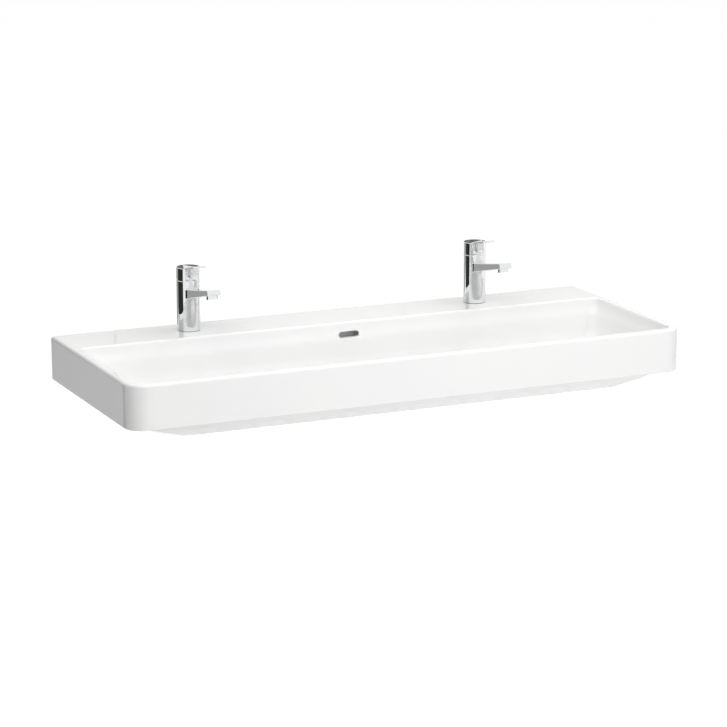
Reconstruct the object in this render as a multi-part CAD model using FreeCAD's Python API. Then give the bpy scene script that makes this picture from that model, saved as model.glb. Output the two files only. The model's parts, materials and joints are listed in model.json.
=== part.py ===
import FreeCAD, Part
import math
import os

# Wide wall-hung hand basin with two single-lever mixer taps and a click waste, in millimetres.
# The origin is on the wall, midway between the inner pair of wall bolts: +X is to the right seen
# from the front, +Y goes into the wall and +Z is up.

# Basin shell
basin_width = 1200.0
basin_depth = 465.0
apron_height = 90.0
rim_above_bolts = 50.0
corner_radius = 40.0
rim_edge_radius = 6.0
apron_foot_radius = 3.0
apron_wall = 12.0
back_wall = 15.0
deck_depth = 125.0
deck_thickness = 16.0

# Bowl
front_rim = 17.0
end_rim = 20.0
bowl_depth = 116.0
bowl_straight_depth = 66.0
bowl_wall = 12.0
bowl_lip_radius = 5.0
bowl_back_radius = 18.0
bowl_front_radius = 30.0
bowl_floor_radius = 60.0
back_sweep = 32.0
front_sweep = 60.0
end_sweep = 105.0
back_draft_deg = 10.0
front_draft_deg = 6.0
end_draft_deg = 8.0
bowl_turn_shares = (0.2, 0.4, 0.6, 0.8, 1.0)

# Wall bolts
wall_bolt_radius = 7.0
inner_bolt_pitch = 280.0
outer_bolt_pitch = 900.0

# Overflow slot and its duct
slot_width = 46.0
slot_height = 13.0
slot_drop = 26.0
duct_wall = 6.0
chase_width = 50.0
chase_depth = 20.0
passage_width = 30.0
passage_height = 8.0

# Drain
drain_from_bowl_back = 87.0
drain_hole_radius = 22.5
drain_recess_radius = 34.0
drain_recess_depth = 4.0
drain_boss_radius = 38.0

# Waste
flange_radius = 32.0
flange_thickness = 3.0
flange_gasket_thickness = 1.5
tail_radius = 20.95
tail_bore_radius = 17.5
spigot_radius = 20.0
spigot_length = 10.0
overflow_port_width = 14.0
bridge_thickness = 4.0
bridge_width = 5.0
bridge_hub_radius = 9.0
bridge_drop = 19.0
click_radius = 6.0
click_length = 20.0
spindle_radius = 4.0
spindle_end_length = 5.0
plug_radius = 28.0
plug_thickness = 5.0
plug_dome_radius = 120.0
plug_seal_radius = 23.0
plug_seal_width = 3.0
plug_seal_thickness = 2.0
lower_gasket_thickness = 2.0
backnut_radius = 30.0
backnut_thickness = 5.0
backnut_notch_width = 6.0
backnut_notch_depth = 2.5
backnut_notches = 6

# Tap places on the deck
tap_spacing = 650.0
tap_setback = 57.0
tap_hole_radius = 17.5

# Tap body and spout
tap_radius = 24.0
tap_body_height = 103.0
base_seal_inset = 1.0
base_seal_thickness = 1.0
spout_reach = 144.0
spout_width = 28.0
spout_root_height = 19.4
spout_tip_height = 11.2
spout_below_joint = 39.0
spout_rise_deg = 13.3
spout_edge_radius = 1.2
waterway_radius = 4.0
waterway_height = 6.0
waterway_start = 3.0

# Tap inlets and fixing
inlet_thread_radius = 4.46
inlet_thread_depth = 14.0
supply_way_radius = 5.0
port_radius = 3.0
port_length = 8.0
port_side = 7.5
port_back = 5.0
outlet_front = 8.0
stud_radius = 4.0
stud_front = 10.0
stud_depth_in_body = 12.0
stud_below_nut = 12.0
fixing_plate_radius = 23.0
fixing_slot_radius = 13.0
fixing_slot_back = 9.0
fixing_gasket_thickness = 3.0
fixing_washer_thickness = 2.5
fixing_nut_width = 13.0
fixing_nut_height = 10.0

# Cartridge
chamber_depth = 18.0
chamber_radius = 16.5
chamber_mouth_radius = 17.6
cartridge_seal_thickness = 1.0
housing_base = 4.0
housing_shoulder = 11.0
housing_bore_radius = 13.5
housing_neck_radius = 14.7
fixed_disc_thickness = 3.0
moving_disc_radius = 9.5
moving_disc_thickness = 5.95
mixing_recess_depth = 1.2
mixing_recess_radius = 7.0
drive_socket_depth = 3.6
retaining_collar_radius = 16.6
retaining_collar_height = 4.0
retaining_notch_width = 3.5
retaining_notches = 6
carrier_above_pivot = 4.0
carrier_slot_half_length = 6.4
pivot_pin_radius = 1.75
pivot_pin_half_length = 12.0
dome_radius = 19.0
dome_thickness = 1.4
dome_rise = 10.0
dome_foot_radius = 21.5
dome_foot_thickness = 1.0

# Stem and lever
lever_gap = 1.5
lever_cap_height = 26.0
lever_cap_wall = 4.0
lever_top_edge_radius = 1.0
cap_cavity_height = 20.5
pivot_above_cap_foot = 0.5
lift_deg = 20.0
lift_spare_deg = 1.0
blade_reach = 68.0
blade_width = 28.0
blade_root_thickness = 4.5
blade_tip_thickness = 4.0
blade_low_point = 19.0
blade_rise_deg = 13.5
blade_corner_radius = 4.0
blade_edge_radius = 0.8
stem_width = 8.0
stem_foot_above_ball = 3.0
stem_top_in_cap = 3.0
stem_neck_radius = 1.8
stem_ball_radius = 2.4
socket_boss_radius = 7.5
socket_boss_above_pivot = 10.5
grub_screw_radius = 2.4
grub_screw_length = 4.5
grub_screw_above_pivot = 16.0
plug_hole_radius = 3.0
screw_plug_length = 3.0

# Aerator
aerator_setback = 13.0
aerator_radius = 11.5
aerator_thread_radius = 9.5
aerator_thread_length = 6.0
aerator_drop = 7.0
aerator_bore_radius = 8.0
aerator_washer_thickness = 1.5
aerator_washer_bore = 5.5
aerator_insert_thickness = 4.0
aerator_insert_recess = 1.0
aerator_hole_radius = 1.0
aerator_ring_shares = (0.35, 0.75)
aerator_ring_counts = (6, 12)

# Clearances, the distance that counts as one place, and the overrun of every cut
thread_clearance = 0.1
fit_clearance = 0.3
running_clearance = 0.05
disc_clearance = 0.05
same_place = 0.01
overrun = 4.0

# Places worked out from the sizes above
rim_top = rim_above_bolts
apron_foot = rim_top - apron_height
pan_foot = rim_top - bowl_depth - bowl_wall
boss_foot = pan_foot - passage_height - duct_wall
drain_y = -deck_depth - drain_from_bowl_back
X_AXIS = FreeCAD.Vector(1, 0, 0)
Y_AXIS = FreeCAD.Vector(0, 1, 0)
Z_AXIS = FreeCAD.Vector(0, 0, 1)


def point(x, y, z):
    return FreeCAD.Vector(x, y, z)


def bar(x_low, x_high, y_low, y_high, z_low, z_high):
    return Part.makeBox(x_high - x_low, y_high - y_low, z_high - z_low, point(x_low, y_low, z_low))


def disc(radius, z_low, z_high, x=0, y=0):
    return Part.makeCylinder(radius, z_high - z_low, point(x, y, z_low))


def ring(outer_radius, inner_radius, z_low, z_high, x=0, y=0):
    hole = disc(inner_radius, z_low - overrun, z_high + overrun, x, y)
    return disc(outer_radius, z_low, z_high, x, y).cut(hole)


def hexagon(width, z_low, z_high, x=0, y=0):
    corner = width / math.sqrt(3)
    corners = []
    for side in range(7):
        turn = math.radians(60 * side)
        corners.append(point(x + corner * math.cos(turn), y + corner * math.sin(turn), z_low))
    return Part.Face(Part.makePolygon(corners)).extrude(Z_AXIS * (z_high - z_low))


def side_profile(yz_points, width):
    # A flat outline in the YZ plane, extruded to a width centred on X = 0.
    corners = [point(-width / 2, y, z) for y, z in yz_points]
    return Part.Face(Part.makePolygon(corners + corners[:1])).extrude(X_AXIS * width)


def notches(count, radius, depth, width, z_low, z_high):
    # Radial slots in the rim of a round piece, for a spanner.
    slots = []
    for number in range(count):
        slot = bar(radius - depth, radius + overrun, -width / 2, width / 2, z_low, z_high)
        slot.rotate(point(0, 0, 0), Z_AXIS, 360 * number / count)
        slots.append(slot)
    return slots


def outline(half_width, y_front, y_back, front_radius, back_radius, z):
    # A rectangle seen from above with rounded front and back corners, as one closed wire.
    corners = (
        (-half_width, y_front, front_radius, 1, 1),
        (half_width, y_front, front_radius, -1, 1),
        (half_width, y_back, back_radius, -1, -1),
        (-half_width, y_back, back_radius, 1, -1),
    )
    starts = []
    arcs = []
    for number, (x, y, radius, inward_x, inward_y) in enumerate(corners):
        along_x = point(x + inward_x * radius, y, z)
        along_y = point(x, y + inward_y * radius, z)
        centre = point(x + inward_x * radius, y + inward_y * radius, z)
        middle = centre - point(inward_x, inward_y, 0) * (radius / math.sqrt(2))
        first, last = (along_y, along_x) if number % 2 == 0 else (along_x, along_y)
        starts.append((first, last))
        arcs.append(Part.Arc(first, middle, last).toShape() if radius > 0 else None)
    edges = []
    for number, arc in enumerate(arcs):
        if arc:
            edges.append(arc)
        next_first = starts[(number + 1) % len(starts)][0]
        edges.append(Part.LineSegment(starts[number][1], next_first).toShape())
    return Part.Wire(edges)


def bowl_outline(depth, sweep, thickness):
    # The bowl at one depth: thickness 0 is the inside, the wall's own thickness is the outside.
    end = end_rim - thickness + depth * math.tan(math.radians(end_draft_deg))
    front = front_rim - thickness + depth * math.tan(math.radians(front_draft_deg))
    back = deck_depth - thickness + depth * math.tan(math.radians(back_draft_deg))
    front_radius = bowl_front_radius + (bowl_floor_radius - bowl_front_radius) * sweep
    back_radius = bowl_back_radius + (bowl_floor_radius - bowl_back_radius) * sweep
    return outline(
        basin_width / 2 - end - (end_sweep + thickness) * sweep,
        -basin_depth + front + (front_sweep + thickness) * sweep,
        -back - (back_sweep + thickness) * sweep,
        front_radius + thickness,
        back_radius + thickness,
        rim_top - depth,
    )


def bowl_form(thickness, first_depth):
    # Straight drafted walls from first_depth, then a quarter sweep down to the flat floor.
    sweep_height = bowl_depth - bowl_straight_depth + thickness
    wires = [bowl_outline(first_depth, 0, thickness)]
    wires.append(bowl_outline((first_depth + bowl_straight_depth) / 2, 0, thickness))
    wires.append(bowl_outline(bowl_straight_depth, 0, thickness))
    for share in bowl_turn_shares:
        turn = share * math.pi / 2
        depth = bowl_straight_depth + sweep_height * math.sin(turn)
        wires.append(bowl_outline(depth, 1 - math.cos(turn), thickness))
    return Part.makeLoft(wires, True, False)


def edges_at(shape, z, inside):
    # The edges of a shape that lie wholly in the level z and pass a test on their middle point.
    chosen = []
    for edge in shape.Edges:
        box = edge.BoundBox
        level = abs(box.ZMin - z) < same_place and abs(box.ZMax - z) < same_place
        if level and inside(box.Center):
            chosen.append(edge)
    return chosen


def make_basin():
    # Apron block: square against the wall, rounded at the front, softened along its top and foot.
    footprint = outline(basin_width / 2, -basin_depth, 0, corner_radius, 0, apron_foot)
    block = Part.Face(footprint).extrude(Z_AXIS * apron_height)
    off_wall = lambda middle: middle.y < -same_place
    block = block.makeFillet(rim_edge_radius, edges_at(block, rim_top, off_wall))
    block = block.makeFillet(apron_foot_radius, edges_at(block, apron_foot, off_wall))

    # The space under the deck and behind the apron is open from below.
    hollow_low = apron_foot - overrun
    hollow = Part.Face(outline(
        basin_width / 2 - apron_wall,
        -basin_depth + apron_wall,
        -back_wall,
        corner_radius - apron_wall,
        0,
        hollow_low,
    )).extrude(Z_AXIS * (rim_top - deck_thickness - hollow_low))
    shell = block.cut(hollow)

    # Bowl pan, overflow duct and drain boss hang below the deck as one casting.
    chase_front = -deck_depth + bowl_wall / 2
    chase_back = chase_front + chase_depth
    chase_top = rim_top - slot_drop + slot_height
    chase_foot = pan_foot - passage_height
    pan = bowl_form(bowl_wall, deck_thickness / 2)
    chase_shell = bar(
        -chase_width / 2 - duct_wall,
        chase_width / 2 + duct_wall,
        chase_front - chase_depth,
        chase_back + duct_wall,
        boss_foot,
        rim_top - deck_thickness / 2,
    )
    passage_shell = bar(
        -passage_width / 2 - duct_wall,
        passage_width / 2 + duct_wall,
        drain_y,
        chase_front,
        boss_foot,
        pan_foot + bowl_wall / 2,
    )
    boss = disc(drain_boss_radius, boss_foot, pan_foot + bowl_wall / 2, 0, drain_y)
    shell = shell.fuse([pan, chase_shell, passage_shell, boss])

    # Inside of the bowl, with a rounded lip.
    shell = shell.cut(bowl_form(0, -overrun)).removeSplitter()
    lip_half_width = basin_width / 2 - end_rim / 2
    on_lip = lambda middle: (
        abs(middle.x) < lip_half_width
        and -basin_depth + front_rim / 2 < middle.y < -deck_depth / 2
    )
    shell = shell.makeFillet(bowl_lip_radius, edges_at(shell, rim_top, on_lip))

    # Overflow slot, chase and passage to the drain hole.
    slot_middle = rim_top - slot_drop
    slot_end = slot_height / 2
    slot_far = -deck_depth - chase_depth
    slot_near = chase_front + chase_depth / 2
    slot = bar(
        -slot_width / 2 + slot_end,
        slot_width / 2 - slot_end,
        slot_far,
        slot_near,
        slot_middle - slot_end,
        slot_middle + slot_end,
    )
    cuts = [slot]
    for side in (-1, 1):
        centre = point(side * (slot_width / 2 - slot_end), slot_far, slot_middle)
        cuts.append(Part.makeCylinder(slot_end, slot_near - slot_far, centre, Y_AXIS))
    cuts.append(bar(-chase_width / 2, chase_width / 2, chase_front, chase_back, chase_foot, chase_top))
    cuts.append(bar(-passage_width / 2, passage_width / 2, drain_y, chase_front, chase_foot, pan_foot))

    # Drain hole and the recess that takes the waste's flange.
    floor = rim_top - bowl_depth
    cuts.append(disc(drain_hole_radius, boss_foot - overrun, floor + overrun, 0, drain_y))
    cuts.append(disc(drain_recess_radius, floor - drain_recess_depth, floor + overrun, 0, drain_y))

    # Tap holes in the deck and bolt holes in the back wall.
    for side in (-1, 1):
        tap_x = side * tap_spacing / 2
        cuts.append(disc(tap_hole_radius, rim_top - deck_thickness - overrun, rim_top + overrun,
                         tap_x, -tap_setback))
        for pitch in (inner_bolt_pitch, outer_bolt_pitch):
            start = point(side * pitch / 2, -back_wall - overrun, 0)
            cuts.append(Part.makeCylinder(wall_bolt_radius, back_wall + 2 * overrun, start, Y_AXIS))
    return shell.cut(Part.makeCompound(cuts))


def make_waste():
    # Click waste: flange and slotted tail in one piece, a plug on a spindle, gaskets and a backnut.
    floor = rim_top - bowl_depth
    flange_foot = floor - drain_recess_depth + flange_gasket_thickness
    flange_top = flange_foot + flange_thickness
    nut_top = boss_foot - lower_gasket_thickness
    nut_foot = nut_top - backnut_thickness
    spigot_foot = nut_foot - spigot_length
    bridge_top = flange_foot - bridge_drop
    bridge_foot = bridge_top - bridge_thickness

    body = ring(flange_radius, tail_bore_radius, flange_foot, flange_top)
    body = body.fuse(ring(tail_radius, tail_bore_radius, nut_foot, flange_foot))
    body = body.fuse(ring(spigot_radius, tail_bore_radius, spigot_foot, nut_foot))
    port_foot = pan_foot - passage_height
    port = bar(
        -overflow_port_width / 2,
        overflow_port_width / 2,
        -tail_radius - overrun,
        tail_radius + overrun,
        port_foot,
        pan_foot,
    )
    body = body.cut(port)
    hub = disc(bridge_hub_radius, bridge_foot, bridge_top)
    spoke_end = (tail_bore_radius + tail_radius) / 2
    for turn in (0, 120, 240):
        spoke = bar(0, spoke_end, -bridge_width / 2, bridge_width / 2, bridge_foot, bridge_top)
        spoke.rotate(point(0, 0, 0), Z_AXIS, turn)
        hub = hub.fuse(spoke)
    body = body.fuse(hub)
    body = body.cut(disc(click_radius + thread_clearance, bridge_foot - overrun, bridge_top + overrun))

    click_foot = bridge_foot - (click_length - bridge_thickness) / 2
    click_top = click_foot + click_length
    click = ring(click_radius, spindle_radius + running_clearance, click_foot, click_top)

    seal_top = flange_top + plug_seal_thickness
    plug_top = seal_top + plug_thickness
    plug = disc(plug_radius, seal_top, plug_top)
    dome = Part.makeSphere(plug_dome_radius, point(0, 0, plug_top - plug_dome_radius))
    plug = plug.common(dome)
    spindle = disc(spindle_radius, click_foot - spindle_end_length, seal_top)
    plug_seal = ring(
        plug_seal_radius + plug_seal_width / 2,
        plug_seal_radius - plug_seal_width / 2,
        flange_top,
        seal_top,
    )

    backnut = ring(backnut_radius, tail_radius + thread_clearance, nut_foot, nut_top)
    backnut = backnut.cut(Part.makeCompound(notches(
        backnut_notches,
        backnut_radius,
        backnut_notch_depth,
        backnut_notch_width,
        nut_foot - overrun,
        nut_top + overrun,
    )))
    gasket_inner = tail_radius + fit_clearance
    pieces = {
        "waste_body": body,
        "waste_gasket": ring(flange_radius, gasket_inner, flange_foot - flange_gasket_thickness, flange_foot),
        "waste_plug": plug,
        "waste_plug_seal": plug_seal,
        "waste_spindle": spindle,
        "waste_click_housing": click,
        "waste_lower_gasket": ring(backnut_radius, gasket_inner, nut_top, boss_foot),
        "waste_backnut": backnut,
    }
    return {name: shape.translated(point(0, drain_y, 0)) for name, shape in pieces.items()}


# Heights in a tap, above the deck
spout_low_point = tap_body_height - spout_below_joint
lever_foot = tap_body_height + lever_gap
lever_top = lever_foot + lever_cap_height
pivot_z = lever_foot + pivot_above_cap_foot
chamber_floor = tap_body_height - chamber_depth
housing_foot = chamber_floor + cartridge_seal_thickness
shoulder_z = housing_foot + housing_shoulder
fixed_disc_foot = housing_foot + housing_base
moving_disc_foot = fixed_disc_foot + fixed_disc_thickness + disc_clearance
moving_disc_top = moving_disc_foot + moving_disc_thickness
carrier_foot = moving_disc_top + fit_clearance
carrier_top = pivot_z + carrier_above_pivot
drive_socket_foot = moving_disc_top - drive_socket_depth
ball_z = drive_socket_foot + stem_ball_radius + fit_clearance
stem_top = lever_top - stem_top_in_cap
housing_radius = chamber_radius - fit_clearance
cap_cavity_radius = tap_radius - lever_cap_wall
ports = ((-port_side, port_back), (port_side, port_back), (0, -outlet_front))


def port_holes(z_low, z_high):
    return Part.makeCompound([disc(port_radius, z_low, z_high, x, y) for x, y in ports])


def sloped(profile, low_point, rise_deg):
    # Turns a side profile, drawn level from the tap's axis, up about that axis at a height.
    profile.translate(point(0, 0, low_point))
    profile.rotate(point(0, 0, low_point), X_AXIS, -rise_deg)
    return profile


def spout_length(reach):
    return reach / math.cos(math.radians(spout_rise_deg))


def make_tap_body():
    # Round body with a flat spout, brazed to its front, that rises away from it.
    body = disc(tap_radius, base_seal_thickness, tap_body_height)
    length = spout_length(spout_reach)
    spout = side_profile(
        ((0, 0), (-length, 0), (-length, spout_tip_height), (0, spout_root_height)),
        spout_width,
    )
    at_root = lambda edge: edge.BoundBox.YMin > -same_place
    spout = spout.makeFillet(spout_edge_radius, [edge for edge in spout.Edges if not at_root(edge)])
    spout = sloped(spout, spout_low_point, spout_rise_deg).cut(body)

    # Cartridge chamber, ports, threaded inlets and the stud's hole.
    chamber_top = tap_body_height + overrun
    cuts = [
        disc(chamber_radius, chamber_floor, chamber_top),
        disc(chamber_mouth_radius, shoulder_z, chamber_top),
    ]
    for side in (-1, 1):
        x = side * port_side
        thread_top = base_seal_thickness + inlet_thread_depth
        cuts.append(disc(inlet_thread_radius, base_seal_thickness - overrun, thread_top, x, port_back))
        cuts.append(disc(supply_way_radius, thread_top, chamber_floor - port_length, x, port_back))
        cuts.append(disc(port_radius, thread_top, chamber_floor + overrun, x, port_back))
    outlet_foot = spout_low_point + waterway_height
    cuts.append(disc(port_radius, outlet_foot, chamber_floor + overrun, 0, -outlet_front))
    stud_hole_top = stud_depth_in_body + fit_clearance
    cuts.append(disc(stud_radius + thread_clearance, -overrun, stud_hole_top, 0, -stud_front))

    # Waterway along the spout, down into the aerator's threaded seat.
    outlet_at = spout_length(spout_reach - aerator_setback)
    waterway = Part.makeCylinder(
        waterway_radius,
        outlet_at - waterway_start,
        point(0, -waterway_start, waterway_height),
        -Y_AXIS,
    )
    seat_top = aerator_thread_length + aerator_washer_thickness
    seat = disc(aerator_thread_radius, -overrun, seat_top, 0, -outlet_at)
    for cut in (waterway, seat):
        cuts.append(sloped(cut, spout_low_point, spout_rise_deg))
    for cut in cuts:
        body = body.cut(cut)
        spout = spout.cut(cut)
    return {"body": body, "spout": spout}


def make_aerator():
    # Ring, insert and washer, stacked on an axis square to the underside of the spout.
    outlet_at = spout_length(spout_reach - aerator_setback)
    stub_radius = aerator_thread_radius - thread_clearance
    seat_top = aerator_thread_length + aerator_washer_thickness
    outer = disc(aerator_radius, -aerator_drop, -running_clearance)
    outer = outer.fuse(disc(stub_radius, -aerator_drop, aerator_thread_length))
    outer = outer.cut(disc(aerator_bore_radius, -aerator_drop - overrun, aerator_thread_length + overrun))
    insert_foot = -aerator_drop + aerator_insert_recess
    insert_top = insert_foot + aerator_insert_thickness
    insert_radius = aerator_bore_radius - thread_clearance
    insert = disc(insert_radius, insert_foot, insert_top)
    holes = []
    for share, count in zip(aerator_ring_shares, aerator_ring_counts):
        for number in range(count):
            turn = 2 * math.pi * number / count
            x = share * insert_radius * math.cos(turn)
            y = share * insert_radius * math.sin(turn)
            holes.append(disc(aerator_hole_radius, insert_foot - overrun, insert_top + overrun, x, y))
    insert = insert.cut(Part.makeCompound(holes))
    washer = ring(stub_radius, aerator_washer_bore, aerator_thread_length, seat_top)
    pieces = {"aerator_ring": outer, "aerator_insert": insert, "aerator_washer": washer}
    for shape in pieces.values():
        shape.translate(point(0, -outlet_at, 0))
        sloped(shape, spout_low_point, spout_rise_deg)
    return pieces


def make_fixing():
    # Seal on the deck, and the stud, horseshoe plates and nut that clamp the tap from below.
    gasket_top = -deck_thickness
    washer_top = gasket_top - fixing_gasket_thickness
    nut_top = washer_top - fixing_washer_thickness
    nut_foot = nut_top - fixing_nut_height
    hole_radius = stud_radius + fit_clearance
    base_seal = ring(tap_radius - base_seal_inset, tap_hole_radius, 0, base_seal_thickness)
    stud = disc(stud_radius, nut_foot - stud_below_nut, stud_depth_in_body, 0, -stud_front)
    plates = []
    for z_low, z_high in ((washer_top, gasket_top), (nut_top, washer_top)):
        plate = disc(fixing_plate_radius, z_low, z_high)
        way = disc(fixing_slot_radius, z_low - overrun, z_high + overrun, 0, fixing_slot_back)
        mouth = bar(
            -fixing_slot_radius,
            fixing_slot_radius,
            fixing_slot_back,
            fixing_plate_radius + overrun,
            z_low - overrun,
            z_high + overrun,
        )
        hole = disc(hole_radius, z_low - overrun, z_high + overrun, 0, -stud_front)
        plates.append(plate.cut(way).cut(mouth).cut(hole))
    nut_hole = disc(stud_radius + thread_clearance, nut_foot - overrun, nut_top + overrun, 0, -stud_front)
    nut = hexagon(fixing_nut_width, nut_foot, nut_top, 0, -stud_front).cut(nut_hole)
    return {
        "base_seal": base_seal,
        "mounting_stud": stud,
        "fixing_gasket": plates[0],
        "fixing_washer": plates[1],
        "fixing_nut": nut,
    }


def make_cartridge():
    # Seal, housing and fixed disc in the body's chamber, held down by the retaining nut.
    seal = disc(housing_radius, chamber_floor, housing_foot)
    seal = seal.cut(port_holes(chamber_floor - overrun, housing_foot + overrun))
    housing = disc(housing_radius, housing_foot, shoulder_z)
    housing = housing.fuse(disc(housing_neck_radius, housing_foot, carrier_top))
    housing = housing.cut(disc(housing_bore_radius, fixed_disc_foot, carrier_top + overrun))
    housing = housing.cut(port_holes(housing_foot - overrun, fixed_disc_foot + overrun))
    fixed_radius = housing_bore_radius - fit_clearance
    fixed_top = fixed_disc_foot + fixed_disc_thickness
    fixed_disc = disc(fixed_radius, fixed_disc_foot, fixed_top)
    fixed_disc = fixed_disc.cut(port_holes(fixed_disc_foot - overrun, fixed_top + overrun))

    # Moving disc: a mixing recess below, and the socket above that the stem's ball drives.
    moving_disc = disc(moving_disc_radius, moving_disc_foot, moving_disc_top)
    recess_top = moving_disc_foot + mixing_recess_depth
    moving_disc = moving_disc.cut(disc(mixing_recess_radius, moving_disc_foot - overrun, recess_top))
    socket_radius = stem_ball_radius + fit_clearance
    moving_disc = moving_disc.cut(disc(socket_radius, drive_socket_foot, moving_disc_top + overrun))

    # Carrier: turns in the housing, is slotted for the stem and holds the pivot pin.
    carrier = disc(housing_bore_radius - running_clearance, carrier_foot, carrier_top)
    slot_half_width = stem_width / 2 + fit_clearance
    carrier = carrier.cut(bar(
        -slot_half_width,
        slot_half_width,
        -carrier_slot_half_length,
        carrier_slot_half_length,
        carrier_foot - overrun,
        carrier_top + overrun,
    ))
    pin_hole = Part.makeCylinder(
        pivot_pin_radius + running_clearance,
        2 * (housing_bore_radius + overrun),
        point(-housing_bore_radius - overrun, 0, pivot_z),
        X_AXIS,
    )
    carrier = carrier.cut(pin_hole)
    pin = Part.makeCylinder(
        pivot_pin_radius,
        2 * pivot_pin_half_length,
        point(-pivot_pin_half_length, 0, pivot_z),
        X_AXIS,
    )

    # Stem: a square bar on the pin, with a neck and ball that reach into the moving disc.
    half = stem_width / 2
    stem = bar(-half, half, -half, half, ball_z + stem_foot_above_ball, stem_top - fit_clearance)
    stem = stem.fuse(disc(stem_neck_radius, ball_z, ball_z + stem_foot_above_ball + overrun))
    stem = stem.fuse(Part.makeSphere(stem_ball_radius, point(0, 0, ball_z)))
    stem = stem.cut(pin_hole)

    # Retaining nut: threaded into the body's mouth, its collar notched for a spanner.
    nut_bore = housing_neck_radius + fit_clearance
    nut = ring(chamber_mouth_radius - thread_clearance, nut_bore, shoulder_z, tap_body_height)
    collar_top = tap_body_height + retaining_collar_height
    nut = nut.fuse(ring(retaining_collar_radius, nut_bore, tap_body_height, collar_top))
    nut = nut.cut(Part.makeCompound(notches(
        retaining_notches,
        retaining_collar_radius,
        (retaining_collar_radius - nut_bore) / 2,
        retaining_notch_width,
        tap_body_height + retaining_collar_height / 2,
        collar_top + overrun,
    )))

    # Dome ring: a zone of a sphere about the pivot, on a thin foot that rests on the body.
    centre = point(0, 0, pivot_z)
    dome = Part.makeSphere(dome_radius, centre)
    dome_top = pivot_z + dome_rise
    dome = dome.common(disc(dome_radius + overrun, tap_body_height, dome_top))
    foot_top = tap_body_height + dome_foot_thickness
    dome = dome.fuse(disc(dome_foot_radius, tap_body_height, foot_top))
    dome = dome.cut(Part.makeSphere(dome_radius - dome_thickness, centre))
    return {
        "cartridge_seal": seal,
        "cartridge_housing": housing,
        "fixed_disc": fixed_disc,
        "moving_disc": moving_disc,
        "carrier": carrier,
        "pivot_pin": pin,
        "stem": stem,
        "retaining_nut": nut,
        "dome_ring": dome,
    }


def make_lever():
    # Round cap over the cartridge with a flat blade rising to the front, screwed to the stem.
    cap = disc(tap_radius, lever_foot, lever_top)
    everywhere = lambda middle: True
    cap = cap.makeFillet(lever_top_edge_radius, edges_at(cap, lever_top, everywhere))
    length = blade_reach / math.cos(math.radians(blade_rise_deg))
    blade = side_profile(
        ((0, 0), (-length, 0), (-length, blade_tip_thickness), (0, blade_root_thickness)),
        blade_width,
    )
    corners = []
    for edge in blade.Edges:
        box = edge.BoundBox
        if box.YMax < -length + blade_tip_thickness and box.XLength < same_place:
            corners.append(edge)
    blade = blade.makeFillet(blade_corner_radius, corners)
    soft = [edge for edge in blade.Edges if edge.BoundBox.YMin < -same_place]
    blade = blade.makeFillet(blade_edge_radius, soft)
    lever = cap.fuse(sloped(blade, lever_foot + blade_low_point, blade_rise_deg)).removeSplitter()

    # Hollow inside, and the rear of the foot cut back so that the cap can tip.
    cavity_top = lever_foot + cap_cavity_height
    lever = lever.cut(disc(cap_cavity_radius, lever_foot - overrun, cavity_top))
    far = tap_radius + overrun
    slope = math.tan(math.radians(lift_deg + lift_spare_deg))
    relief = side_profile(
        (
            (0, lever_foot - overrun),
            (0, lever_foot),
            (far, lever_foot + far * slope),
            (far, lever_foot - overrun),
        ),
        2 * far,
    )
    lever = lever.cut(relief)

    # Boss with a square socket for the stem, and the way in for its grub screw.
    lever = lever.fuse(disc(socket_boss_radius, pivot_z + socket_boss_above_pivot, cavity_top))
    half = stem_width / 2 + thread_clearance
    lever = lever.cut(bar(-half, half, -half, half, lever_foot - overrun, stem_top))
    screw_z = pivot_z + grub_screw_above_pivot
    screw_way = grub_screw_radius + thread_clearance
    lever = lever.cut(Part.makeCylinder(screw_way, socket_boss_radius, point(0, 0, screw_z), Y_AXIS))
    plug_start = tap_radius - screw_plug_length - lever_top_edge_radius
    way_start = (socket_boss_radius + cap_cavity_radius) / 2
    way = Part.makeCylinder(plug_hole_radius, far - way_start, point(0, way_start, screw_z), Y_AXIS)
    lever = lever.cut(way)
    grub_start = stem_width / 2 + thread_clearance / 2
    grub = Part.makeCylinder(grub_screw_radius, grub_screw_length, point(0, grub_start, screw_z), Y_AXIS)
    plug_radius_in_hole = plug_hole_radius - thread_clearance
    plug = Part.makeCylinder(plug_radius_in_hole, screw_plug_length, point(0, plug_start, screw_z), Y_AXIS)
    return {"lever": lever, "grub_screw": grub, "screw_plug": plug}


def make_tap():
    pieces = make_tap_body()
    pieces.update(make_aerator())
    pieces.update(make_fixing())
    pieces.update(make_cartridge())
    pieces.update(make_lever())
    return pieces


nodes = {"basin": make_basin()}
nodes.update(make_waste())
for side_name, side in (("left", -1), ("right", 1)):
    site = point(side * tap_spacing / 2, -tap_setback, rim_top)
    for piece, shape in make_tap().items():
        nodes[f"{side_name}_tap_{piece}"] = shape.translated(site)

os.makedirs("parts", exist_ok=True)
for name, shape in nodes.items():
    shape.exportStep(f"parts/{name}.step")
    print(name, "solids", len(shape.Solids), "valid", shape.isValid(), "volume", round(shape.Volume, 1))
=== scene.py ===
import json
import math

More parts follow.
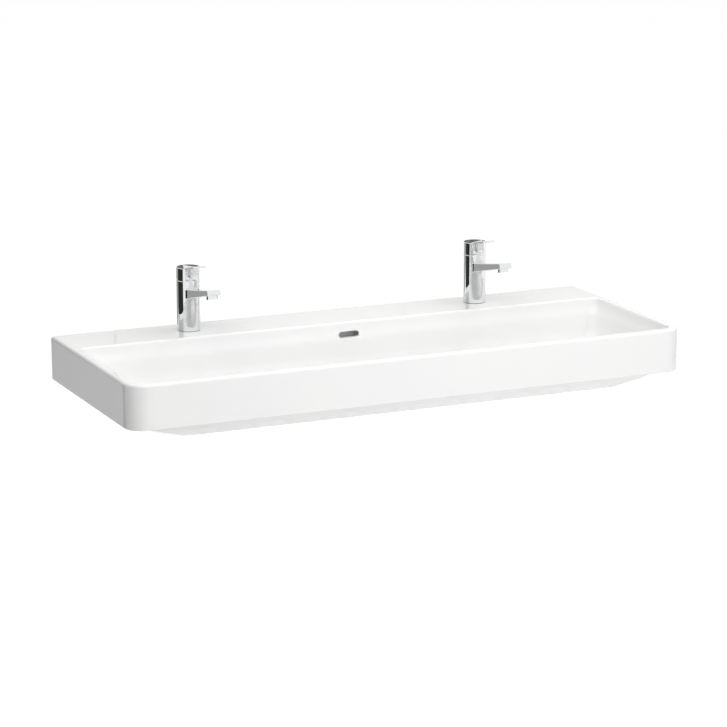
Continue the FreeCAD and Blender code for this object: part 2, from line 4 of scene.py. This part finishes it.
import bpy
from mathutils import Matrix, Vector


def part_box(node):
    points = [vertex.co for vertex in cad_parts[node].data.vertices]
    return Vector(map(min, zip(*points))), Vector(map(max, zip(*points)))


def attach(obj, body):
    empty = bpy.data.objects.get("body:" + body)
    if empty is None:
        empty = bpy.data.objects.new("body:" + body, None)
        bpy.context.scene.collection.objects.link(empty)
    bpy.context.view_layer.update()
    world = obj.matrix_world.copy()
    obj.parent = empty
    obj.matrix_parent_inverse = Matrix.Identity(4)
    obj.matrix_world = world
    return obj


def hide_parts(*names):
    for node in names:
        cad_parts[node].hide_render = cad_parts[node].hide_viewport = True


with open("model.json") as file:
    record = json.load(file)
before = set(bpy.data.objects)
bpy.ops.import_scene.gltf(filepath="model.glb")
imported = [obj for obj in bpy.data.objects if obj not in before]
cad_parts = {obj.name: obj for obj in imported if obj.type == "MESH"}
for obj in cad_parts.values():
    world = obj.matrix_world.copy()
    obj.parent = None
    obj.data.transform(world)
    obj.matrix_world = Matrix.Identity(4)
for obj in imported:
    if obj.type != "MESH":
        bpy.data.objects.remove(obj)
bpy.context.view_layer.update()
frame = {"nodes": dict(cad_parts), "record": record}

# Basin: one slip-cast vitreous china shell, with the apron, tap deck, bowl, overflow duct and drain boss in
# one piece. It is dipped in white glaze and fired, so every edge is soft and the surface is glassy and
# faintly uneven.


def body_of_node(name):
    for body, members in frame["record"]["behaviour"]["bodies"].items():
        if name in members:
            return body
    return None


def finished(name, material, smooth_degrees=32.0):
    # A copy of the constructed piece: seams welded, flat faces made whole, round faces shaded smooth.
    piece = bpy.data.objects.new(name + "_finish", frame["nodes"][name].data.copy())
    bpy.context.scene.collection.objects.link(piece)
    bpy.ops.object.select_all(action="DESELECT")
    piece.select_set(True)
    bpy.context.view_layer.objects.active = piece
    weld_distance = 0.000002
    flat_degrees = 0.05
    bpy.ops.object.mode_set(mode="EDIT")
    bpy.ops.mesh.select_all(action="SELECT")
    bpy.ops.mesh.remove_doubles(threshold=weld_distance)
    bpy.ops.mesh.dissolve_limited(angle_limit=math.radians(flat_degrees))
    bpy.ops.object.mode_set(mode="OBJECT")
    bpy.ops.object.shade_smooth_by_angle(angle=math.radians(smooth_degrees))
    weighting = piece.modifiers.new("flat faces stay flat", "WEIGHTED_NORMAL")
    weighting.keep_sharp = True
    bpy.ops.object.modifier_apply(modifier=weighting.name)
    piece.data.materials.clear()
    piece.data.materials.append(material)
    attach(piece, body_of_node(name))
    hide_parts(name)


def drift_group():
    # A slow, soft drift of a value over a surface, between a low and a high level.
    group = bpy.data.node_groups.new("slow drift", "ShaderNodeTree")
    for label, start in (("Scale", 10.0), ("Detail", 3.0), ("Low", 0.0), ("High", 1.0)):
        socket = group.interface.new_socket(name=label, in_out="INPUT", socket_type="NodeSocketFloat")
        socket.default_value = start
    group.interface.new_socket(name="Value", in_out="OUTPUT", socket_type="NodeSocketFloat")
    nodes = group.nodes
    links = group.links
    entry = nodes.new("NodeGroupInput")
    place = nodes.new("ShaderNodeTexCoord")
    noise = nodes.new("ShaderNodeTexNoise")
    spread = nodes.new("ShaderNodeMapRange")
    spread.inputs["From Min"].default_value = 0.3
    spread.inputs["From Max"].default_value = 0.7
    leave = nodes.new("NodeGroupOutput")
    links.new(place.outputs["Object"], noise.inputs["Vector"])
    links.new(entry.outputs["Scale"], noise.inputs["Scale"])
    links.new(entry.outputs["Detail"], noise.inputs["Detail"])
    links.new(noise.outputs["Fac"], spread.inputs["Value"])
    links.new(entry.outputs["Low"], spread.inputs["To Min"])
    links.new(entry.outputs["High"], spread.inputs["To Max"])
    links.new(spread.outputs["Result"], leave.inputs["Value"])
    return group


drift = drift_group()


def new_material(name):
    material = bpy.data.materials.new(name)
    material.use_nodes = True
    shader = material.node_tree.nodes["Principled BSDF"]
    return material, shader


def add_drift(material, scale, low=0.0, high=1.0, detail=3.0):
    node = material.node_tree.nodes.new("ShaderNodeGroup")
    node.node_tree = drift
    node.inputs["Scale"].default_value = scale
    node.inputs["Detail"].default_value = detail
    node.inputs["Low"].default_value = low
    node.inputs["High"].default_value = high
    return node.outputs["Value"]


def add_tint(material, shader, level, colour, other_colour):
    # Base colour that drifts between two near shades.
    mix = material.node_tree.nodes.new("ShaderNodeMix")
    mix.data_type = "RGBA"
    mix.inputs["A"].default_value = (*colour, 1.0)
    mix.inputs["B"].default_value = (*other_colour, 1.0)
    material.node_tree.links.new(level, mix.inputs["Factor"])
    material.node_tree.links.new(mix.outputs["Result"], shader.inputs["Base Color"])


def add_bump(material, shader, height, distance):
    bump = material.node_tree.nodes.new("ShaderNodeBump")
    bump.inputs["Distance"].default_value = distance
    bump.inputs["Strength"].default_value = 1.0
    material.node_tree.links.new(height, bump.inputs["Height"])
    material.node_tree.links.new(bump.outputs["Normal"], shader.inputs["Normal"])


def glaze_material():
    material, shader = new_material("white_glaze")
    links = material.node_tree.links
    add_tint(material, shader, add_drift(material, 5.0), (0.885, 0.887, 0.885), (0.9, 0.9, 0.893))
    links.new(add_drift(material, 24.0, 0.09, 0.14), shader.inputs["Roughness"])
    add_bump(material, shader, add_drift(material, 16.0, detail=1.0), 0.00006)
    shader.inputs["IOR"].default_value = 1.5
    return material


white_glaze = glaze_material()
finished("basin", white_glaze, smooth_degrees=40.0)

# Waste: a turned brass body with a flange and slotted tail, chromed where it shows, clamped through the drain
# hole by a brass backnut between two rubber gaskets. Its domed plug rides on a spindle in a click housing.


def chrome_material():
    material, shader = new_material("polished_chrome")
    links = material.node_tree.links
    add_tint(material, shader, add_drift(material, 60.0), (0.80, 0.81, 0.82), (0.84, 0.845, 0.85))
    links.new(add_drift(material, 180.0, 0.025, 0.06), shader.inputs["Roughness"])
    shader.inputs["Metallic"].default_value = 1.0
    return material


def brass_material():
    material, shader = new_material("machined_brass")
    links = material.node_tree.links
    add_tint(material, shader, add_drift(material, 120.0), (0.66, 0.5, 0.24), (0.74, 0.58, 0.32))
    links.new(add_drift(material, 300.0, 0.2, 0.34), shader.inputs["Roughness"])
    add_bump(material, shader, add_drift(material, 900.0), 0.00003)
    shader.inputs["Metallic"].default_value = 1.0
    return material


def rubber_material():
    material, shader = new_material("black_rubber")
    links = material.node_tree.links
    add_tint(material, shader, add_drift(material, 90.0), (0.03, 0.03, 0.031), (0.05, 0.05, 0.051))
    links.new(add_drift(material, 400.0, 0.62, 0.8), shader.inputs["Roughness"])
    add_bump(material, shader, add_drift(material, 1500.0), 0.00004)
    return material


polished_chrome = chrome_material()
machined_brass = brass_material()
black_rubber = rubber_material()
for name in ("waste_body", "waste_plug"):
    finished(name, polished_chrome)
for name in ("waste_spindle", "waste_click_housing", "waste_backnut"):
    finished(name, machined_brass)
for name in ("waste_gasket", "waste_plug_seal", "waste_lower_gasket"):
    finished(name, black_rubber)

# Tap fixing: a rubber seal on the deck, and below it a brass stud, a horseshoe gasket, a zinc-plated
# horseshoe washer and a brass nut, which clamp the tap through its hole.


def steel_material():
    material, shader = new_material("plated_steel")
    links = material.node_tree.links
    add_tint(material, shader, add_drift(material, 80.0), (0.5, 0.51, 0.52), (0.6, 0.6, 0.6))
    links.new(add_drift(material, 250.0, 0.28, 0.42), shader.inputs["Roughness"])
    add_bump(material, shader, add_drift(material, 700.0), 0.00003)
    shader.inputs["Metallic"].default_value = 1.0
    return material


plated_steel = steel_material()
sides = ("left_tap_", "right_tap_")
for side in sides:
    finished(side + "base_seal", black_rubber)
    finished(side + "fixing_gasket", black_rubber)
    finished(side + "fixing_washer", plated_steel)
    finished(side + "mounting_stud", machined_brass)
    finished(side + "fixing_nut", machined_brass)

# Tap body: a round brass body with a flat spout brazed to its front, polished and chrome plated as one.
# The aerator's chromed ring screws up into the spout's tip and holds a moulded insert against a
# rubber washer.


def plastic_material(name, colour, other_colour):
    material, shader = new_material(name)
    links = material.node_tree.links
    add_tint(material, shader, add_drift(material, 70.0), colour, other_colour)
    links.new(add_drift(material, 350.0, 0.38, 0.52), shader.inputs["Roughness"])
    add_bump(material, shader, add_drift(material, 1200.0), 0.00003)
    return material


white_plastic = plastic_material("white_plastic", (0.78, 0.78, 0.76), (0.84, 0.84, 0.82))
grey_plastic = plastic_material("grey_plastic", (0.3, 0.31, 0.32), (0.36, 0.37, 0.38))
for side in sides:
    finished(side + "body", polished_chrome)
    finished(side + "spout", polished_chrome)
    finished(side + "aerator_ring", polished_chrome)
    finished(side + "aerator_insert", white_plastic)
    finished(side + "aerator_washer", black_rubber)

# Cartridge: a plastic housing on a rubber seal, with a fixed and a moving alumina disc, a carrier that turns
# and a brass stem on a steel pin, held down by a brass nut under a chromed dome ring.


def alumina_material():
    material, shader = new_material("lapped_alumina")
    links = material.node_tree.links
    add_tint(material, shader, add_drift(material, 150.0), (0.8, 0.77, 0.68), (0.86, 0.83, 0.75))
    links.new(add_drift(material, 500.0, 0.22, 0.32), shader.inputs["Roughness"])
    return material


lapped_alumina = alumina_material()
for side in sides:
    finished(side + "cartridge_seal", black_rubber)
    finished(side + "cartridge_housing", grey_plastic)
    finished(side + "fixed_disc", lapped_alumina)
    finished(side + "moving_disc", lapped_alumina)
    finished(side + "carrier", grey_plastic)
    finished(side + "pivot_pin", plated_steel)
    finished(side + "stem", machined_brass)
    finished(side + "retaining_nut", machined_brass)
    finished(side + "dome_ring", polished_chrome)

# Lever: a hollow round cap with a flat blade, die-cast and chrome plated, fixed to the stem by a grub screw
# behind a small plastic plug at the rear.
for side in sides:
    finished(side + "lever", polished_chrome)
    finished(side + "grub_screw", plated_steel)
    finished(side + "screw_plug", grey_plastic)

# Studio: a wide pale floor below the hung basin, soft lamps at the front, the sides and the top, and cards
# out of view that the chrome and the glaze mirror as dark bands and soft greys.
floor_drop = 0.85
floor_size = 120.0
bpy.ops.object.select_all(action="DESELECT")
bpy.ops.mesh.primitive_plane_add(size=floor_size, location=(0.0, 0.0, -floor_drop))
floor = bpy.context.object
floor.name = "studio_floor"


def add_seen_ray(tree):
    # 1 for rays that show a surface directly, in a mirror or through glass; 0 for rays that light others.
    path = tree.nodes.new("ShaderNodeLightPath")
    level = path.outputs["Is Camera Ray"]
    for label in ("Is Glossy Ray", "Is Transmission Ray"):
        either = tree.nodes.new("ShaderNodeMath")
        either.operation = "MAXIMUM"
        tree.links.new(level, either.inputs[0])
        tree.links.new(path.outputs[label], either.inputs[1])
        level = either.outputs["Value"]
    return level


def floor_material():
    material, shader = new_material("pale_floor")
    tree = material.node_tree
    add_tint(material, shader, add_drift(material, 0.8), (0.86, 0.86, 0.86), (0.88, 0.88, 0.88))
    shader.inputs["Roughness"].default_value = 0.9
    shader.inputs["Specular IOR Level"].default_value = 0.0
    floor_glow = 0.985
    white = tree.nodes.new("ShaderNodeEmission")
    level = tree.nodes.new("ShaderNodeMath")
    level.operation = "MULTIPLY"
    level.inputs[1].default_value = floor_glow
    tree.links.new(add_seen_ray(tree), level.inputs[0])
    tree.links.new(level.outputs["Value"], white.inputs["Strength"])
    both = tree.nodes.new("ShaderNodeAddShader")
    tree.links.new(shader.outputs["BSDF"], both.inputs[0])
    tree.links.new(white.outputs["Emission"], both.inputs[1])
    # From below, the floor is clear, so that the underside of the basin can be seen.
    face = tree.nodes.new("ShaderNodeNewGeometry")
    clear = tree.nodes.new("ShaderNodeBsdfTransparent")
    from_below = tree.nodes.new("ShaderNodeMixShader")
    tree.links.new(face.outputs["Backfacing"], from_below.inputs["Fac"])
    tree.links.new(both.outputs["Shader"], from_below.inputs[1])
    tree.links.new(clear.outputs["BSDF"], from_below.inputs[2])
    tree.links.new(from_below.outputs["Shader"], tree.nodes["Material Output"].inputs["Surface"])
    return material


floor.data.materials.append(floor_material())


def card_material(name, level):
    # A card that shows about one level where it is mirrored, with a faint mottle.
    material = bpy.data.materials.new(name)
    material.use_nodes = True
    tree = material.node_tree
    glow = tree.nodes.new("ShaderNodeEmission")
    glow.inputs["Color"].default_value = (1.0, 1.0, 0.985, 1.0)
    tree.links.new(add_drift(material, 2.0, 0.9 * level, 1.1 * level), glow.inputs["Strength"])
    tree.links.new(glow.outputs["Emission"], tree.nodes["Material Output"].inputs["Surface"])
    return material


def add_card(name, low, high, material):
    # An upright card between two corners on plan, out of the camera's view, that sheds no light or shadow.
    bpy.ops.object.select_all(action="DESELECT")
    run = Vector((high[0] - low[0], high[1] - low[1], 0.0))
    height = high[2] - low[2]
    middle = (Vector(low) + Vector(high)) / 2.0
    turn = (math.radians(90.0), 0.0, math.atan2(run.y, run.x))
    bpy.ops.mesh.primitive_plane_add(size=1.0, location=middle, rotation=turn)
    card = bpy.context.object
    card.name = name
    card.scale = (run.length, height, 1.0)
    bpy.ops.object.transform_apply(location=True, rotation=True, scale=True)
    card.data.materials.append(material)
    card.visible_camera = False
    card.visible_diffuse = False
    card.visible_shadow = False


black = card_material("black_card", 0.03)
dark = card_material("dark_card", 0.1)
grey = card_material("grey_card", 0.38)
pale = card_material("pale_card", 0.84)
camera_place = Vector((-2.2533, -5.1367, 1.2763))

# A black flag stands to the left of each tap, edge on to the camera, for the dark band on the body and
# the cap. The right one ends sooner, so that the side of its spout doesn't mirror it.
flag_aside = 0.15
flag_before = 0.126
flag_lift = 0.005
flag_height = Vector((0.0, 0.0, 0.11))
for side, flag_behind in (("left_tap_", 0.055), ("right_tap_", 0.008)):
    low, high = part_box(side + "body")
    tap_x = (low.x + high.x) / 2.0
    tap_y = high.y - (high.x - low.x) / 2.0
    sight = math.atan2(tap_x - camera_place.x, tap_y - camera_place.y)
    along = Vector((math.sin(sight), math.cos(sight), 0.0))
    aside = Vector((-math.cos(sight), math.sin(sight), 0.0))
    foot = Vector((tap_x, tap_y, low.z + flag_lift)) + flag_aside * aside
    add_card(side + "flag", foot - flag_before * along, foot + flag_behind * along + flag_height, black)

# Behind the basin stand a dark card for each cap's flat top, a pale one for the deck and grey ones for the
# spouts.
cap_card_width = 0.07
cap_card_back = 1.74
cap_card_foot = 0.55
cap_card_head = 0.586
for name, card_x in (("left_cap_card", 0.322), ("right_cap_card", 1.202)):
    low = (card_x, cap_card_back, cap_card_foot)
    high = (card_x + cap_card_width, cap_card_back, cap_card_head)
    add_card(name, low, high, dark)
add_card("deck_card", (-1.3, 1.76, 0.2), (1.7, 1.76, 1.0), pale)
add_card("back_card", (-1.22, 0.93, -0.185), (-0.05, 0.93, 0.1), grey)
add_card("back_left_card", (-1.95, 0.93, -0.8), (-1.22, 0.93, 0.3), grey)

world = bpy.data.worlds.new("studio")
bpy.context.scene.world = world
world.use_nodes = True
ambient = 0.01
sky = world.node_tree.nodes["Background"]
sky.inputs["Color"].default_value = (1.0, 1.0, 1.0, 1.0)
sky_level = world.node_tree.nodes.new("ShaderNodeMapRange")
sky_level.inputs["To Min"].default_value = ambient
sky_level.inputs["To Max"].default_value = 1.0
world.node_tree.links.new(add_seen_ray(world.node_tree), sky_level.inputs["Value"])
world.node_tree.links.new(sky_level.outputs["Result"], sky.inputs["Strength"])


def add_softbox(name, location, aim, power):
    # A large square lamp, turned to its aim; chrome and glaze don't mirror it.
    softbox_size = 1.6
    lamp = bpy.data.lights.new(name, "AREA")
    lamp.shape = "SQUARE"
    lamp.size = softbox_size
    lamp.energy = power
    softbox = bpy.data.objects.new(name, lamp)
    bpy.context.scene.collection.objects.link(softbox)
    softbox.location = location
    softbox.rotation_euler = (Vector(location) - Vector(aim)).to_track_quat("Z", "Y").to_euler()
    softbox.visible_glossy = False


basin_middle = (0.0, -0.2, 0.0)
add_softbox("front_softbox", (0.0, -2.6, 0.4), basin_middle, 18.0)
add_softbox("front_right_softbox", (1.6, -2.2, 0.8), basin_middle, 7.2)
add_softbox("front_left_softbox", (-1.0, -1.6, 1.6), basin_middle, 10.7)
add_softbox("low_softbox", (0.6, -2.2, -0.5), basin_middle, 10.8)
add_softbox("right_softbox", (1.4, -0.6, 1.8), basin_middle, 18.8)
add_softbox("left_softbox", (-1.4, -0.6, 1.8), basin_middle, 17.8)
add_softbox("top_softbox", (0.2, -0.3, 1.5), (0.2, -0.3, 0.0), 11.8)

# Camera: far off at the left front, looking down at the basin by about 13 degrees through a long lens.
focal_pixels = 2729.8
frame_pixels = 727.0
yaw_degrees = 24.537
pitch_degrees = 13.459
lens = bpy.data.cameras.new("camera")
lens.sensor_fit = "HORIZONTAL"
lens.sensor_width = 36.0
lens.lens = focal_pixels / frame_pixels * lens.sensor_width
lens.clip_end = 200.0
camera = bpy.data.objects.new("camera", lens)
bpy.context.scene.collection.objects.link(camera)
camera.location = camera_place
camera.rotation_euler = (math.radians(90.0 - pitch_degrees), 0.0, math.radians(-yaw_degrees))
bpy.context.scene.camera = camera
bpy.context.scene.view_settings.view_transform = "Standard"
